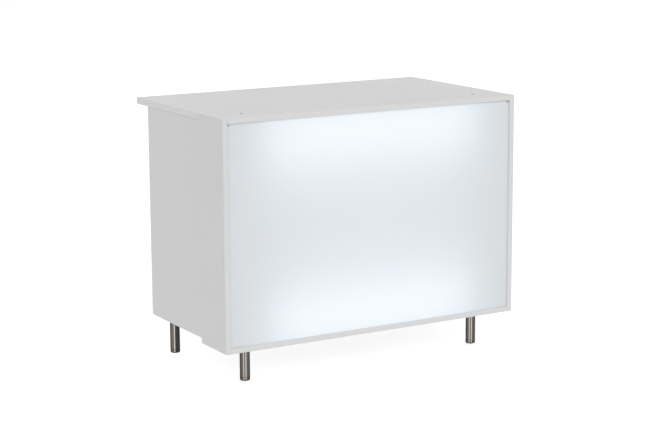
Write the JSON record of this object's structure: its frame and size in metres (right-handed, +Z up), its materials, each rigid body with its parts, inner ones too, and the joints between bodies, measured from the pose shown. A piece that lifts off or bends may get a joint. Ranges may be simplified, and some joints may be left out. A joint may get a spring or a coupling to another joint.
{
  "type": "bar counter with shelves",
  "caption": "White bar counter: a lit opal front in a shallow light box, an open shelf cabinet behind it on the staff side, an overhanging worktop and round steel legs with levelling feet.",
  "frame": {"origin": "on the floor under the middle of the counter", "axes": "+X along the counter, +Y from the customers' side to the staff side, +Z up"},
  "size_m": [1.4, 0.8, 1.1],
  "materials": {
    "white_laminate": "white melamine-faced board, satin, edge banded",
    "opal_acrylic": "opal acrylic sheet, satin, lit from behind",
    "stainless": "brushed stainless tube",
    "zinc_steel": "zinc-plated steel fittings",
    "white_enamel": "white enamelled sheet steel",
    "lamp_tube": "frosted lamp tube with metal caps",
    "white_plastic": "moulded white plastic",
    "black_plastic": "moulded black plastic"
  },
  "bodies": {
    "counter_frame": {"cabinet_bottom": "white_laminate", "cabinet_divider": "white_laminate", "cabinet_left_side": "white_laminate", "cabinet_right_side": "white_laminate", "cable_clip": "white_plastic", "corner_bracket_left_lower": "zinc_steel", "corner_bracket_left_upper": "zinc_steel", "corner_bracket_right_lower": "zinc_steel", "corner_bracket_right_upper": "zinc_steel", "front_left_leg": "stainless", "front_left_leg_flange": "stainless", "front_right_leg": "stainless", "front_right_leg_flange": "stainless", "left_shelf_pin_inner_front": "zinc_steel", "left_shelf_pin_inner_rear": "zinc_steel", "left_shelf_pin_outer_front": "zinc_steel", "left_shelf_pin_outer_rear": "zinc_steel", "light_box_back": "white_laminate", "light_box_bottom": "white_laminate", "light_box_left_side": "white_laminate", "light_box_right_side": "white_laminate", "light_box_top": "white_laminate", "lower_lamp_batten": "white_enamel", "lower_lamp_cable": "white_plastic", "lower_lamp_tube": "lamp_tube", "lower_lampholder_left": "white_plastic", "lower_lampholder_right": "white_plastic", "module_bracket_left_lower": "zinc_steel", "module_bracket_left_upper": "zinc_steel", "module_bracket_right_lower": "zinc_steel", "module_bracket_right_upper": "zinc_steel", "opal_front": "opal_acrylic", "power_inlet": "black_plastic", "rear_left_leg": "stainless", "rear_left_leg_flange": "stainless", "rear_right_leg": "stainless", "rear_right_leg_flange": "stainless", "right_shelf_pin_inner_front": "zinc_steel", "right_shelf_pin_inner_rear": "zinc_steel", "right_shelf_pin_outer_front": "zinc_steel", "right_shelf_pin_outer_rear": "zinc_steel", "tie_rod_left": "zinc_steel", "tie_rod_right": "zinc_steel", "upper_lamp_batten": "white_enamel", "upper_lamp_cable": "white_plastic", "upper_lamp_tube": "lamp_tube", "upper_lampholder_left": "white_plastic", "upper_lampholder_right": "white_plastic", "worktop": "white_laminate", "worktop_bracket_left_front": "zinc_steel", "worktop_bracket_left_rear": "zinc_steel", "worktop_bracket_right_front": "zinc_steel", "worktop_bracket_right_rear": "zinc_steel"},
    "front_left_foot": {"front_left_foot": "stainless"},
    "front_right_foot": {"front_right_foot": "stainless"},
    "rear_left_foot": {"rear_left_foot": "stainless"},
    "rear_right_foot": {"rear_right_foot": "stainless"},
    "left_shelf": {"left_shelf": "white_laminate"},
    "right_shelf": {"right_shelf": "white_laminate"},
    "rocker_switch": {"rocker_switch": "black_plastic"}
  },
  "joints": [
    {"name": "front_left_levelling", "type": "slide", "parent": "counter_frame", "child": "front_left_foot", "axis": [0, 0, -1], "range_m": [0, 0.02]},
    {"name": "front_right_levelling", "type": "slide", "parent": "counter_frame", "child": "front_right_foot", "axis": [0, 0, -1], "range_m": [0, 0.02]},
    {"name": "rear_left_levelling", "type": "slide", "parent": "counter_frame", "child": "rear_left_foot", "axis": [0, 0, -1], "range_m": [0, 0.02]},
    {"name": "rear_right_levelling", "type": "slide", "parent": "counter_frame", "child": "rear_right_foot", "axis": [0, 0, -1], "range_m": [0, 0.02]},
    {"name": "left_shelf_draw", "type": "slide", "parent": "counter_frame", "child": "left_shelf", "axis": [0, 1, 0], "range_m": [0, 0.18]},
    {"name": "right_shelf_draw", "type": "slide", "parent": "counter_frame", "child": "right_shelf", "axis": [0, 1, 0], "range_m": [0, 0.18]},
    {"name": "switch_rock", "type": "hinge", "parent": "counter_frame", "child": "rocker_switch", "pos_m": [0.52, -0.1817, 0.314], "axis": [1, 0, 0], "range_deg": [-16, 0]}
  ]
}
